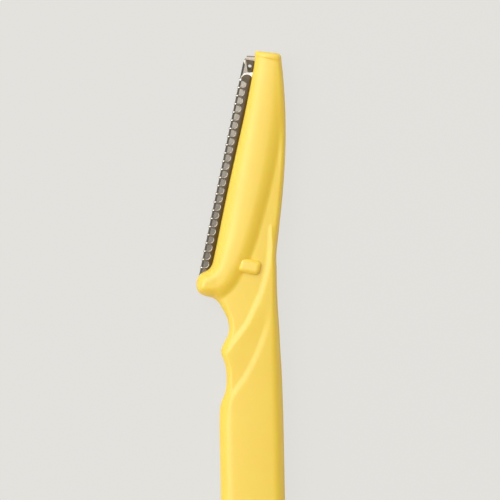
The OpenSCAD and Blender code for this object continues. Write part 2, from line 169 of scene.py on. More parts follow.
behind = nodes.new("ShaderNodeVectorMath")
behind.operation = "DOT_PRODUCT"
behind.inputs[1].default_value = behind_way
facet = nodes.new("ShaderNodeMapRange")
facet.inputs["From Min"].default_value = edge_in + bevel_w - bevel_blur
facet.inputs["From Max"].default_value = edge_in + bevel_w
facet.inputs["To Min"].default_value = 1
facet.inputs["To Max"].default_value = 0
along = nodes.new("ShaderNodeVectorMath")
along.operation = "DOT_PRODUCT"
along.inputs[1].default_value = along_way
# Painted light: the strip's colour is mixed towards a brighter grey from the heel to the tip.
painted_light = nodes.new("ShaderNodeMapRange")
painted_light.inputs["From Min"].default_value = heel_along + painted_light_from
painted_light.inputs["From Max"].default_value = heel_along + painted_light_to
painted_tip_light = nodes.new("ShaderNodeMix")
painted_tip_light.data_type = "RGBA"
painted_tip_light.inputs["B"].default_value = (0.33, 0.305, 0.265, 1)
# Painted dark reflection: the ground facet's colour is mixed towards a dark grey.
facet_painted_dark = nodes.new("ShaderNodeMix")
facet_painted_dark.data_type = "RGBA"
facet_painted_dark.inputs["B"].default_value = (0.075, 0.07, 0.06, 1)
dull = nodes.new("ShaderNodeMath")
dull.operation = "MULTIPLY_ADD"
dull.inputs[1].default_value = 0.3
links.new(place.outputs["Object"], behind.inputs[0])
links.new(behind.outputs["Value"], facet.inputs["Value"])
links.new(place.outputs["Object"], corner.inputs[0])
links.new(corner.outputs["Value"], stop.inputs["Value"])
links.new(facet.outputs["Result"], ground.inputs[0])
links.new(stop.outputs["Result"], ground.inputs[1])
links.new(ground.outputs[0], facet_painted_dark.inputs["Factor"])
links.new(place.outputs["Object"], along.inputs[0])
links.new(along.outputs["Value"], painted_light.inputs["Value"])
links.new(painted_light.outputs["Result"], painted_tip_light.inputs["Factor"])
links.new(worn.outputs["Color"], painted_tip_light.inputs["A"])
links.new(painted_tip_light.outputs["Result"], facet_painted_dark.inputs["A"])
links.new(facet_painted_dark.outputs["Result"], steel.inputs["Base Color"])
links.new(ground.outputs[0], dull.inputs[0])
links.new(worn.outputs["Roughness"], dull.inputs[2])
links.new(dull.outputs[0], steel.inputs["Roughness"])
blade_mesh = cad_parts["blade"].data
blade_mesh.materials.clear()
blade_mesh.materials.append(blade_steel)

# Guard
# A thin stainless sheet, punched with a row of windows and folded lengthwise round the cutting
# edge. Its toothed part stands off the blade and steps down to a tab at the tip, where a flap
# from the back is folded over the end of the steel to hold it.
# Slot 0 is the plain sheet; slots 1 and 2 are brighter steels that paint highlights on it.
plain, painted_sheen, painted_glint = 0, 1, 2
sharp_angle = math.radians(35)
sheet_t = 0.14 * mm
tooth_gap = 0.14 * mm
fold_gap = 0.02 * mm
guard_w = 3 * mm
windows = 24
window_pitch = 1.42 * mm
window_w = 1.04 * mm
window_in = 1.3 * mm
window_start = 0.25 * mm
window_rounding = 0.13 * mm
tooth_t = blade_t / 2 + tooth_gap + sheet_t
fold_len = math.pi / 2 * tooth_t
sheet_w = guard_w - tooth_t + fold_len
straight = window_in - window_w / 2 - tooth_t + fold_len
plate_rows = 6
near = 0.001 * mm


def at_steel(along, behind, up):
    """A place in the part from its distance along the steel, behind the fold and above the middle."""
    return Vector((
        steel_x + along * math.sin(steel_lean) + behind * math.cos(steel_lean),
        steel_y + along * math.cos(steel_lean) - behind * math.sin(steel_lean),
        half_t + up,
    ))


def behind_fold(w):
    """Distance of a line of the flat sheet behind the fold's nose, once it is folded."""
    w = abs(w)
    if w < fold_len:
        return tooth_t - tooth_t * math.cos(w / tooth_t)
    return tooth_t + w - fold_len


def grow(edges):
    """Extrudes a row of edges and gives the new row: its edges and its corners."""
    made = bmesh.ops.extrude_edge_only(sheet, edges=edges)["geom"]
    verts = {v for v in made if isinstance(v, bmesh.types.BMVert)}
    return [e for e in made if isinstance(e, bmesh.types.BMEdge) and set(e.verts) <= verts], verts


def row_at(spot, axis):
    """Edges whose two ends both lie at a place on an axis."""
    return [e for e in sheet.edges if all(abs(v.co[axis] - spot) < near for v in e.verts)]


# One window and half of each bar beside it, flat, from the fold's middle to the sheet's edge.
sheet = bmesh.new()
bmesh.ops.create_circle(sheet, segments=32, radius=window_w / 2)
bmesh.ops.bisect_plane(sheet, geom=sheet.verts[:] + sheet.edges[:], dist=near,
                       plane_co=(0, 0, 0), plane_no=(0, 1, 0), clear_inner=True)
ends = [v for v in sheet.verts if len(v.link_edges) == 1]
bmesh.ops.translate(sheet, verts=sheet.verts[:], vec=(0, straight, 0))
sides = bmesh.ops.extrude_vert_indiv(sheet, verts=ends)
bmesh.ops.translate(sheet, verts=sides["verts"], vec=(0, -straight, 0))
bmesh.ops.subdivide_edges(sheet, edges=sides["edges"], cuts=9)
corners = grow(sheet.edges[:])[1]
for v in corners:
    centre = Vector((0, min(v.co.y, straight), 0))
    way = (v.co - centre).normalized()
    v.co = centre + way * window_pitch / 2 / max(abs(way.x), abs(way.y))
top = straight + window_pitch / 2
for k in range(1, plate_rows + 1):
    corners = grow(row_at(top, 1))[1]
    top = straight + window_pitch / 2 + (sheet_w - straight - window_pitch / 2) * k / plate_rows
    for v in corners:
        v.co.y = top
bmesh.ops.translate(sheet, verts=sheet.verts[:], vec=(window_start, 0, 0))
bmesh.ops.spin(sheet, geom=sheet.verts[:] + sheet.edges[:] + sheet.faces[:], cent=(0, 0, 0),
               axis=(0, 0, 1), dvec=(window_pitch, 0, 0), angle=0, steps=windows - 1,
               use_duplicate=True)
bmesh.ops.remove_doubles(sheet, verts=sheet.verts[:], dist=near)

# The heel runs on into the hook. The other end is an arch that steps down to the tab.
corners = grow(row_at(window_start - window_pitch / 2, 0))[1]
for v in corners:
    v.co.x = -heel_bury
arch_at = window_start + (windows - 0.5) * window_pitch
arch_r = 1.03 * mm
arch_in = 1.375 * mm
arch_clear = 0.03 * mm
step_rows = 5
step_r = 1.4 * mm
step_in = 1.6 * mm
step_lean = 0.37
tab_starts = 1.1 * mm


def arch_end(behind):
    """Where the raised sheet ends."""
    return arch_at + arch_clear + math.sqrt(max(arch_r ** 2 - (behind - arch_in) ** 2, 0))


def step_end(behind):
    """Where the foot of the step meets the blade."""
    if behind > step_in:
        return arch_at + step_r + step_lean * (behind - step_in)
    return max(arch_at + math.sqrt(max(step_r ** 2 - (behind - step_in) ** 2, 0)),
               arch_end(behind) + sheet_t / 2)


row, corners = grow(row_at(arch_at, 0))
for v in corners:
    v.co.x = arch_end(behind_fold(v.co.y))
raised = set(sheet.faces)
for k in range(1, step_rows + 1):
    row, corners = grow(row)
    for v in corners:
        behind = behind_fold(v.co.y)
        share = k / step_rows
        v.co.x = arch_end(behind) * (1 - share) + step_end(behind) * share
        if behind > tooth_t:
            v.co.z = -(tooth_gap - fold_gap) * share * share * (3 - 2 * share)

# The fold of the toothed part and the face of the step get a brighter steel: a painted highlight.
for f in sheet.faces:
    bend = all(v.co.y < fold_len for v in f.verts)
    f.material_index = painted_sheen if bend == (f in raised) else plain

# The tab narrows towards the end of the blade, which is slanted.
end_slant = math.tan(math.radians(9.7))
fold_at = 37.33 * mm
fold_r = 0.22 * mm
fold_up = 0.075 * mm
tab_corner = 37 * mm
tab_in = 0.54 * mm
row = [e for e in row if all(behind_fold(v.co.y) > tab_starts for v in e.verts)]
first_in = min(behind_fold(v.co.y) for e in row for v in e.verts)
shaped = set(sheet.faces)
row, corners = grow(row)
for v in corners:
    share = (behind_fold(v.co.y) - first_in) / (guard_w - first_in)
    behind = tab_in + share * (guard_w - tab_in)
    v.co.x = tab_corner
    v.co.y = behind - tooth_t + fold_len
corners = grow(row)[1]
for v in corners:
    v.co.x = fold_at + end_slant * behind_fold(v.co.y)
for f in sheet.faces:
    if f not in shaped:
        f.material_index = plain

# Front and back are alike, but the back runs on into the flap.
bmesh.ops.mirror(sheet, geom=sheet.verts[:] + sheet.edges[:] + sheet.faces[:], axis="Y",
                 matrix=Matrix.Identity(4), merge_dist=near)
bmesh.ops.remove_doubles(sheet, verts=[v for v in sheet.verts if abs(v.co.y) < near], dist=near)
row = [e for e in sheet.edges if e.is_boundary and all(
    v.co.x > fold_at and abs(v.co.x - fold_at - end_slant * behind_fold(v.co.y)) < near
    for v in e.verts)]
for v in {v for e in row for v in e.verts if v.co.y > 0}:
    v.co.x -= fold_r
row = [e for e in row if e.verts[0].co.y < 0]
bend_len = math.pi * (fold_r + sheet_t / 2)
bend_rows, flap_rows = 12, 2
flap_len = 0.32 * mm
flap_slant = 0.116
starts = {v.co.y: v.co.x for e in row for v in e.verts}
for k in range(1, bend_rows + flap_rows + 1):
    row, corners = grow(row)
    for v in corners:
        flap = flap_len + flap_slant * (behind_fold(v.co.y) - tab_in)
        v.co.x = (starts[v.co.y] + bend_len * min(k / bend_rows, 1)
                  + flap * max(k - bend_rows, 0) / flap_rows)
# The flap gets a brighter steel: a painted highlight.
for f in sheet.faces:
    if f.calc_center_median().x > fold_at + bend_len / 2:
        f.material_index = painted_glint
bmesh.ops.recalc_face_normals(sheet, faces=sheet.faces[:])
if sum(f.normal.z for f in sheet.faces) < 0:
    bmesh.ops.reverse_faces(sheet, faces=sheet.faces[:])


def on_rim(v):
    """Whether a corner of the flat sheet lies on the rim of a window."""
    along = v.co.x - window_start
    return (abs(v.co.y) < straight + window_w / 2 + near
            and abs(along - round(along / window_pitch) * window_pitch) < window_w / 2 + near
            and -heel_bury + near < v.co.x < arch_at - window_pitch / 4)


def ends_at(e):
    """The rounded places of an edge's two ends."""
    return frozenset(tuple(round(c / near) for c in v.co) for v in e.verts)


# The flat sheet gets its thickness and the rounded rims of its windows, and is bent.
rims_at = {ends_at(e) for e in sheet.edges if e.is_boundary and all(on_rim(v) for v in e.verts)}
shell = bmesh.ops.extrude_face_region(sheet, geom=sheet.faces[:], use_keep_orig=True)["geom"]
lower = {v for v in shell if isinstance(v, bmesh.types.BMVert)}
rims = [e for e in sheet.edges if not lower & set(e.verts) and ends_at(e) in rims_at]
bmesh.ops.translate(sheet, verts=list(lower), vec=(0, 0, -sheet_t))
rounded = bmesh.ops.bevel(sheet, geom=rims, offset=window_rounding, offset_type="OFFSET",
                          affect="EDGES", segments=3, profile=0.5, material=-1)
# The rounded rims get a brighter steel: a painted glint.
for f in rounded["faces"]:
    f.material_index = painted_glint
for v in sheet.verts:
    along, out = v.co.x, tooth_t + v.co.z
    side = 1 if v.co.y > 0 else -1
    behind = behind_fold(v.co.y)
    past = along - fold_at - end_slant * behind
    if abs(v.co.y) < fold_len:
        turned = abs(v.co.y) / tooth_t
        v.co = at_steel(along, tooth_t - out * math.cos(turned), side * out * math.sin(turned))
    elif side < 0 and past > near:
        turned = min(past / (fold_r + sheet_t / 2), math.pi)
        r = fold_up + out
        flat = max(past - bend_len, 0)
        v.co = at_steel(along - past + r * math.sin(turned) - flat, behind,
                        fold_up - r * math.cos(turned))
    else:
        v.co = at_steel(along, behind, side * out)
bmesh.ops.recalc_face_normals(sheet, faces=sheet.faces[:])
guard_mesh = bpy.data.meshes.new("folded_guard")
sheet.to_mesh(guard_mesh)
sheet.free()

# The sheet is painted darker and yellower towards the lip, and more so at the heel: painted shade
# under the lip and a painted reflection of its yellow. Its folds and the rims of its windows are
# painted brighter: painted highlights.
guard_steel = steel_finish("guard_steel", (0.145, 0.12, 0.09), roughness=0.42, line_density=7000,
                           line_depth=0.0005 * mm, dullness=0.4)
nodes, links = guard_steel.node_tree.nodes, guard_steel.node_tree.links
painted_lip_shade_from, painted_lip_shade_to, painted_lip_shade_slant = 1.0 * mm, 1.55 * mm, -0.016
painted_lip_shade_in = edge_in + painted_lip_shade_slant * heel_along
place = nodes.new("ShaderNodeTexCoord")
behind = nodes.new("ShaderNodeVectorMath")
behind.operation = "DOT_PRODUCT"
behind.inputs[1].default_value = behind_way + painted_lip_shade_slant * along_way
painted_lip_shade = nodes.new("ShaderNodeMapRange")
painted_lip_shade.interpolation_type = "SMOOTHSTEP"
painted_lip_shade.inputs["From Min"].default_value = painted_lip_shade_in + painted_lip_shade_from
painted_lip_shade.inputs["From Max"].default_value = painted_lip_shade_in + painted_lip_shade_to
# Painted shade and a painted yellow reflection, mixed in towards the lip.
painted_lip_colour = nodes.new("ShaderNodeMix")
painted_lip_colour.data_type = "RGBA"
painted_lip_colour.inputs["B"].default_value = (0.1, 0.062, 0.016, 1)
links.new(place.outputs["Object"], behind.inputs[0])
links.new(behind.outputs["Value"], painted_lip_shade.inputs["Value"])
links.new(painted_lip_shade.outputs["Result"], painted_lip_colour.inputs["Factor"])
links.new(nodes["Group"].outputs["Color"], painted_lip_colour.inputs["A"])
links.new(painted_lip_colour.outputs["Result"], nodes["Principled BSDF"].inputs["Base Color"])
# Brighter steel for the fold and the step: a painted highlight.
painted_sheen_steel = steel_finish("painted_sheen_steel", (0.9, 0.88, 0.83), roughness=0.35,
                               line_density=7000, line_depth=0.0005 * mm, dullness=0.2)
# Brighter steel for the rims and the flap: a painted glint.
painted_glint_steel = steel_finish("painted_glint_steel", (0.44, 0.39, 0.33), roughness=0.22,
                             line_density=7000, line_depth=0.0005 * mm, dullness=0.2)
for finish in (guard_steel, painted_sheen_steel, painted_glint_steel):
    guard_mesh.materials.append(finish)
guard = bpy.data.objects.new("folded_guard", guard_mesh)
scene.collection.objects.link(guard)


def smooth(mesh):
    """Shades a mesh smooth, except at its sharp edges."""
    for polygon in mesh.polygons:
        polygon.use_smooth = True
    mesh.set_sharp_from_angle(angle=sharp_angle)


def combine(piece, tool, operation):
    """Cuts a tool out of a piece or welds it on, and removes the tool."""
    change = piece.modifiers.new("change", "BOOLEAN")
    change.operation = operation
    change.solver = "EXACT"
    change.object = tool
    changed = piece.evaluated_get(bpy.context.evaluated_depsgraph_get())
    mesh = bpy.data.meshes.new_from_object(changed)
    piece.modifiers.clear()
    piece.data = mesh
    bpy.data.objects.remove(tool)
    smooth(mesh)


# The slot in the tab is punched through front and back, on a slant towards the tip.
hole_len, hole_w = 0.98 * mm, 0.63 * mm
hole_at, hole_in = 35.8 * mm, 1.38 * mm
punch_slant = 0.9
punch = bmesh.new()
bmesh.ops.create_circle(punch, segments=32, radius=hole_w / 2, cap_ends=True)
for v in punch.verts:
    if abs(v.co.x) > near:
        v.co.x += math.copysign((hole_len - hole_w) / 2, v.co.x)
made = bmesh.ops.extrude_face_region(punch, geom=punch.faces[:])["geom"]
bmesh.ops.translate(punch, verts=[v for v in made if isinstance(v, bmesh.types.BMVert)],
                    vec=(0, 0, handle_t))
for v in punch.verts:
    up = v.co.z - half_t
    v.co = at_steel(hole_at + v.co.x + punch_slant * (tooth_t - up), hole_in + v.co.y, up)
bmesh.ops.recalc_face_normals(punch, faces=punch.faces[:])
punch_mesh = bpy.data.meshes.new("punch")
punch.to_mesh(punch_mesh)
punch.free()
punch_tool = bpy.data.objects.new("punch", punch_mesh)
scene.collection.objects.link(punch_tool)
combine(guard, punch_tool, "DIFFERENCE")
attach(guard, "root")
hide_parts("guard")

# Handle
# One moulding of yellow plastic with a soft gloss, shot round the steel: a plain flat handle, a
# finger grip with two hollows and two ridges, a hook, and a leaf-shaped head with a lip for the
# steel.
handle_len = 86.5 * mm
handle_w = 10.9 * mm
side_t = 0.9 * mm
edge_r = 2.8 * mm
grip_r = 1.2 * mm
plain_right_r = 2.3 * mm
spine_right_r = 0.95 * mm
narrow_from, narrow_to = 0.05, 0.3
right_from, right_to = 0.2, 1.05
fade_from, fade_to = 0.55, 0.8
butt_r = 2.6 * mm
crown = 0.35 * mm
finger_depth = 1.95 * mm
waist_depth = 0.65 * mm
# The relief is a little finer and shallower than the CAD's.
web_drop = 0.3 * mm
scoop_drop = 0.2 * mm
ridge_w = 1.25 * mm
scoop_reach = 5.5 * mm
head_w = 12.4 * mm
blade_show = 1.95 * mm
hook_len = 3.7 * mm
leaf_rise = 0.75 * mm
leaf_shoulder = 2.3 * mm
leaf_fillet = 0.35 * mm
lip_r = 4.6 * mm
lip_grows = 12 * mm
lip_starts = 8.1 * mm
lip_t = 1.9 * mm
tip_t = 4.2 * mm
tip_r = 0.7 * mm
rim_len = 1 * mm
rim_rise = 0.12 * mm
rim_foot = rim_len / 3
half_w = handle_w / 2
rib_steps = 9
skin_steps = 96
butt_steps = 10
plain_steps = 12
curve_steps = 6

# Left edge of the grip: share of the grip's length, share of the finger hollow's depth.
# Right edge: share of the grip's length, share of the waist's depth.
grip_shares = [
    [0, 0, 0, 0],
    [0.1, 0.05, 0.09, 0.02],
    [0.155, 0.2, 0.14, 0.04],
    [0.21, 0.5, 0.2, 0.07],
    [0.26, 0.65, 0.26, 0.11],
    [0.325, 0.7, 0.32, 0.17],
    [0.39, 0.63, 0.38, 0.25],
    [0.44, 0.43, 0.43, 0.33],
    [0.49, 0.26, 0.47, 0.4],
    [0.545, 0.55, 0.52, 0.48],
    [0.595, 0.9, 0.565, 0.53],
    [0.64, 1, 0.6, 0.57],
    [0.69, 0.91, 0.635, 0.62],
    [0.73, 0.7, 0.67, 0.68],
    [0.77, 0.42, 0.7, 0.74],
]
# Hook: share of its length along the blade, share of the steel that shows.
# Right edge: share of the grip's length, share of the waist's depth.
hook_shares = [
    [-1.14, 2.08, 0.73, 0.8],
    [-1.01, 1.58, 0.76, 0.86],
    [-0.99, 0.96, 0.79, 0.91],
    [-0.93, 0.42, 0.815, 0.94],
    [-0.8, 0.1, 0.84, 0.96],
    [-0.56, -0.08, 0.865, 0.98],
    [-0.3, -0.1, 0.89, 0.99],
    [-0.14, 0, 0.91, 1],
    [0, 0.16, 0.93, 1],
    [0.13, 0.46, 0.95, 1],
    [0.25, 0.72, 0.97, 1],
    [0.42, 0.88, 0.99, 0.99],
    [0.62, 0.95, 1.015, 0.98],
]
# Lip: share of the head's length along the blade, share of the steel that shows.
# Spine: share of the head's length along the blade, share of the head's width.
head_shares = [
    [0.13, 0.98, 0.13, 0.99],
    [0.17, 0.98, 0.17, 0.972],
    [0.22, 0.98, 0.22, 0.958],
    [0.29, 0.98, 0.29, 0.938],
    [0.38, 0.99, 0.38, 0.911],
    [0.47, 1.01, 0.47, 0.878],
    [0.57, 1.05, 0.57, 0.834],
    [0.67, 1.09, 0.67, 0.778],
    [0.77, 1.11, 0.77, 0.71],
    [0.86, 1.1, 0.86, 0.637],
    [0.93, 1.07, 0.935, 0.568],
    [0.965, 1.02, 0.975, 0.528],
    [0.985, 0.95, 1, 0.502],
    [1, 0.93, 1.01, 0.46],
]
# Line at the foot of the leaf: share of the head's length, share of its width
valley_shares = [
    [1.1, 0.52], [0.95, 0.61], [0.83, 0.665], [0.72, 0.7], [0.59, 0.72], [0.46, 0.72],
    [0.33, 0.705], [0.2, 0.675], [0.1, 0.63], [0.03, 0.57], [-0.04, 0.48], [-0.09, 0.34],
    [-0.12, 0.1], [-0.15, -0.3],
]
# Line of the upper ridge, from the left edge up to its tip and down its far side:
# share of the handle's half width, share of the grip's length
upper_ridge_shares = [
    [-1.4, 0.41], [-0.78, 0.49], [-0.52, 0.552], [-0.13, 0.654], [0.12, 0.752], [0.38, 0.87],
    [0.57, 1], [0.67, 1.13], [0.72, 1.27], [0.77, 1.27], [0.84, 1.17], [0.92, 1.07], [1.2, 0.94],
]
# Line of the lower ridge, likewise
lower_ridge_shares = [
    [-1.2, -0.02], [-0.83, 0.08], [-0.68, 0.175], [-0.4, 0.258], [-0.1, 0.346], [0.21, 0.47],
    [0.42, 0.578], [0.56, 0.68], [0.66, 0.8],
]


def by_blade(along, behind):
    """A point of the plan from its distance along the blade and behind the cutting edge."""
    return [
        -heel_out + along * math.sin(blade_lean) + behind * math.cos(blade_lean),
        grip_len + along * math.cos(blade_lean) - behind * math.sin(blade_lean),
    ]


def curve(points, steps):
    """Points of a smooth curve through a list of points."""
    points = np.array(points)
    last = len(points) - 1
    made = []
    for i in range(last):
        a, b = points[max(i - 1, 0)], points[i]
        c, d = points[i + 1], points[min(i + 2, last)]
        for t in np.arange(steps) / steps:
            pull = 2 * a - 5 * b + 4 * c - d + t * (3 * (b - c) + d - a)
            made.append(b + t / 2 * (c - a + t * pull))
    return np.array([*made, points[last]])


def gap(places, line):
    """Least distance of each place in plan from a line of points."""
    least = np.full(len(places), np.inf)
    for a, b in zip(line[:-1], line[1:]):
        way = b - a
        share = np.clip((places - a) @ way / (way @ way), 0, 1)
        least = np.minimum(least, np.linalg.norm(places - a - share[:, None] * way, axis=1))
    return least


def side_gap(places, ring):
    """Distance from a closed ring of points, above zero inside it."""
    inside = np.zeros(len(places), bool)
    for a, b in zip(ring, np.roll(ring, -1, axis=0)):
        if a[1] == b[1]:
            continue
        spans = (a[1] > places[:, 1]) != (b[1] > places[:, 1])
        slope = (b[0] - a[0]) / (b[1] - a[1])
        inside ^= spans & (places[:, 0] < a[0] + slope * (places[:, 1] - a[1]))
    return np.where(inside, 1, -1) * gap(places, ring)


def round_up(t):
    """Rounded corner from 0 to 1 that runs out softly."""
    return np.sqrt(1 - (1 - np.clip(t, 0, 1)) ** 3)


def ease(t):
    """Soft step from 0 to 1."""
    t = np.clip(t, 0, 1)
    return t * t * (3 - 2 * t)


def soften(d, r):
    """The larger of d and 0, with the corner between them rounded over r on each side."""
    return np.where(d < -r, 0, np.where(d > r, d, (d + r) ** 2 / (4 * r)))


butt_ribs = []
for k in range(butt_steps + 1):
    a = math.pi / 2 * k / butt_steps
    x = half_w - butt_r + butt_r * math.sin(a)
    y = butt_r * (1 - math.cos(a)) - handle_len
    butt_ribs.append([-x, y, x, y])
plain_ribs = [
    [-half_w, y, half_w, y]
    for y in np.linspace(butt_r - handle_len, 0, plain_steps + 1)[1:-1]
]
shaped_ribs = curve(
    [[-half_w + s[1] * finger_depth, s[0] * grip_len, half_w - s[3] * waist_depth, s[2] * grip_len]
     for s in grip_shares]
    + [[*by_blade(s[0] * hook_len, s[1] * blade_show), half_w - s[3] * waist_depth, s[2] * grip_len]
       for s in hook_shares]
    + [[*by_blade(s[0] * head_len, s[1] * blade_show), *by_blade(s[2] * head_len, s[3] * head_w)]
       for s in head_shares],
    rib_steps,
)
ribs = np.array([*butt_ribs, *plain_ribs, *shaped_ribs])
left_edge, right_edge = ribs[:, :2], ribs[:, 2:]
butt_edge = ribs[0].reshape(2, 2)
tip_edge = ribs[-1].reshape(2, 2)

far = handle_len + grip_len + head_len
leaf_ring = np.array([
    *curve([by_blade(s[0] * head_len, s[1] * head_w) for s in valley_shares], curve_steps),
    [-far, 0], [-far, far], [0, far],
])
upper_ring = np.array([
    *curve([[s[0] * half_w, s[1] * grip_len] for s in upper_ridge_shares], curve_steps),
    [far, 0], [far, -far], [-far, -far], [-far, 0],
])
lower_ring = np.array([
    *curve([[s[0] * half_w, s[1] * grip_len] for s in lower_ridge_shares], curve_steps),
    [far, grip_len], [far, -far], [-far, -far], [-far, 0],
])


def along_blade(places):
    """Distance along the blade from its heel."""
    return ((places[:, 0] + heel_out) * math.sin(blade_lean)
            + (places[:, 1] - grip_len) * math.cos(blade_lean))


def grip_share(places, first, last):
    """Soft step from 0 to 1 between two shares of the grip's length."""
    return ease((places[:, 1] / grip_len - first) / (last - first))


def face(places):
    """Half thickness of the handle, before its edges are rounded."""
    along = along_blade(places)
    thin = 1 - (1 - tip_t / handle_t) * ease(along / head_len)
    upper = ease(0.5 - side_gap(places, upper_ring) / ridge_w)
    below = -side_gap(places, lower_ring)
    fade = 1 - grip_share(places, fade_from, fade_to)
    scoop = ease(0.5 + below / ridge_w) * (1 - ease(below / scoop_reach)) * (1 - upper) * fade
    foot = soften(side_gap(places, leaf_ring), leaf_fillet) / leaf_shoulder
    leaf = 1 - (1 - np.minimum(foot, 1)) ** 2
    rim = rim_rise * ease((along - head_len + rim_len) / rim_foot)
    bulge = crown * (1 - np.minimum(np.abs(places[:, 0]) / half_w, 1) ** 2)
    return thin * (half_t + bulge - web_drop * upper - scoop_drop * scoop + leaf_rise * leaf) + rim


def half_thickness(places, across):
    """Half thickness of the handle, a share of the way across each rib."""
    at_lip = ease(along_blade(places) / hook_len)
    strip = side_t / 2 + (lip_t - side_t) / 2 * at_lip * (1 - across)
    right_r = (plain_right_r
               + (spine_right_r - plain_right_r) * grip_share(places, right_from, right_to))
    left_r = edge_r + (grip_r - edge_r) * grip_share(places, narrow_from, narrow_to)
    left_r += (lip_r - left_r) * ease((along_blade(places) + lip_starts) / (lip_starts + lip_grows))
    rounding = (
        round_up(gap(places, left_edge) / left_r) * round_up(gap(places, right_edge) / right_r)
        * round_up(gap(places, butt_edge) / edge_r) * round_up(gap(places, tip_edge) / tip_r)
    )
    return strip + (face(places) - strip) * rounding


def moulded_plastic(name, colour):
    """Dyed plastic with a soft gloss, a little light under its skin and faint flow marks."""
    material = bpy.data.materials.new(name)
    material.use_nodes = True
    nodes, links = material.node_tree.nodes, material.node_tree.links
    plastic = nodes["Principled BSDF"]
    plastic.inputs["IOR"].default_value = 1.6
    plastic.inputs["Specular IOR Level"].default_value = 1
    plastic.inputs["Subsurface Weight"].default_value = 0.5
    plastic.inputs["Subsurface Radius"].default_value = (1, 0.5, 0.1)
    plastic.inputs["Subsurface Scale"].default_value = 1.2 * mm
    place = nodes.new("ShaderNodeTexCoord")
    flow = nodes.new("ShaderNodeTexNoise")
    flow.inputs["Scale"].default_value = 120
    flow.inputs["Detail"].default_value = 3
    tone = nodes.new("ShaderNodeMix")
    tone.data_type = "RGBA"
    tone.inputs["A"].default_value = (*colour, 1)
    tone.inputs["B"].default_value = (colour[0], colour[1] * 0.96, colour[2] * 0.9, 1)
    gloss = nodes.new("ShaderNodeMapRange")
    gloss.inputs["To Min"].default_value = 0.4
    gloss.inputs["To Max"].default_value = 0.48
    skin = nodes.new("ShaderNodeTexNoise")
    skin.inputs["Scale"].default_value = 9000
    skin.inputs["Detail"].default_value = 2
    bump = nodes.new("ShaderNodeBump")
    bump.inputs["Distance"].default_value = 0.002 * mm
    bump.inputs["Strength"].default_value = 0.5
    links.new(place.outputs["Object"], flow.inputs["Vector"])
    links.new(place.outputs["Object"], skin.inputs["Vector"])
    links.new(flow.outputs["Fac"], tone.inputs["Factor"])
    links.new(tone.outputs["Result"], plastic.inputs["Base Color"])
    links.new(flow.outputs["Fac"], gloss.inputs["Value"])
    links.new(gloss.outputs["Result"], plastic.inputs["Roughness"])
    links.new(skin.outputs["Fac"], bump.inputs["Height"])
    links.new(bump.outputs["Normal"], plastic.inputs["Normal"])
    return material


def as_piece(bm, name, material):
    """Makes a finished mesh an object."""
    mesh = bpy.data.meshes.new(name)
    bm.to_mesh(mesh)
    bm.free()
    mesh.materials.append(material)
    smooth(mesh)
    piece = bpy.data.objects.new(name, mesh)
    scene.collection.objects.link(piece)
    return piece


bm = bmesh.new()
bmesh.ops.create_grid(bm, x_segments=len(ribs) - 1, y_segments=skin_steps, size=1)
verts = list(bm.verts)
spots = np.array([v.co[:2] for v in verts])
rib = np.rint((spots[:, 0] + 1) / 2 * (len(ribs) - 1)).astype(int)
across = (1 + np.sin(math.pi / 2 * spots[:, 1])) / 2
places = left_edge[rib] + (right_edge - left_edge)[rib] * across[:, None]
heights = half_thickness(places, across)
for v, place, height in zip(verts, places, heights):
    v.co = (place[0], place[1], height)
back = bmesh.ops.duplicate(bm, geom=bm.verts[:] + bm.edges[:] + bm.faces[:])["geom"]
for v in back:
    if isinstance(v, bmesh.types.BMVert):
        v.co.z = max(-v.co.z, -half_t)
bmesh.ops.reverse_faces(bm, faces=[f for f in back if isinstance(f, bmesh.types.BMFace)])
bmesh.ops.bridge_loops(bm, edges=[e for e in bm.edges if e.is_boundary])
bmesh.ops.translate(bm, verts=bm.verts[:], vec=(0, grip_y, half_t))
bmesh.ops.recalc_face_normals(bm, faces=bm.faces[:])
plastic = moulded_plastic("yellow_plastic", (0.97, 0.705, 0.054))
handle = as_piece(bm, "handle_body", plastic)

# Cover stop: the raised nub in front, moulded with the handle. Its top falls towards the tip.
nub_len, nub_w, nub_rise = 3.8 * mm, 2.5 * mm, 1.06 * mm
nub_r, nub_corner_r = 0.75 * mm, 0.85 * mm
nub_fall = 0.11
nub_up, nub_in = 2.8 * mm, 8.12 * mm
nub = bmesh.new()
top = half_t - web_drop + nub_rise
bmesh.ops.create_cube(nub, size=1)
bmesh.ops.scale(nub, verts=nub.verts[:], vec=(nub_w, nub_len, top))
bmesh.ops.translate(nub, verts=nub.verts[:], vec=(0, 0, top / 2))
upright = [e for e in nub.edges if abs(e.verts[0].co.z - e.verts[1].co.z) > top / 2]
bmesh.ops.bevel(nub, geom=upright, offset=nub_corner_r, offset_type="OFFSET", affect="EDGES",
                segments=10, profile=0.5, material=-1)
upper = [e for e in nub.edges if min(v.co.z for v in e.verts) > top / 2]
bmesh.ops.bevel(nub, geom=upper, offset=nub_r, offset_type="OFFSET", affect="EDGES",
                segments=8, profile=0.5, material=-1)
bmesh.ops.rotate(nub, verts=nub.verts[:], cent=(0, 0, 0),
                 matrix=Matrix.Rotation(math.pi / 2 - blade_lean, 3, "Z"))
for v in nub.verts:
    if v.co.z > top / 2:
        v.co.z -= nub_fall * v.co.y
nub_at = by_blade(nub_up, nub_in)
bmesh.ops.translate(nub, verts=nub.verts[:], vec=(nub_at[0], nub_at[1] + grip_y, half_t))
cover_stop = as_piece(nub, "cover_stop", plastic)
combine(handle, cover_stop, "UNION")
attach(handle, "root")
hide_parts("handle")

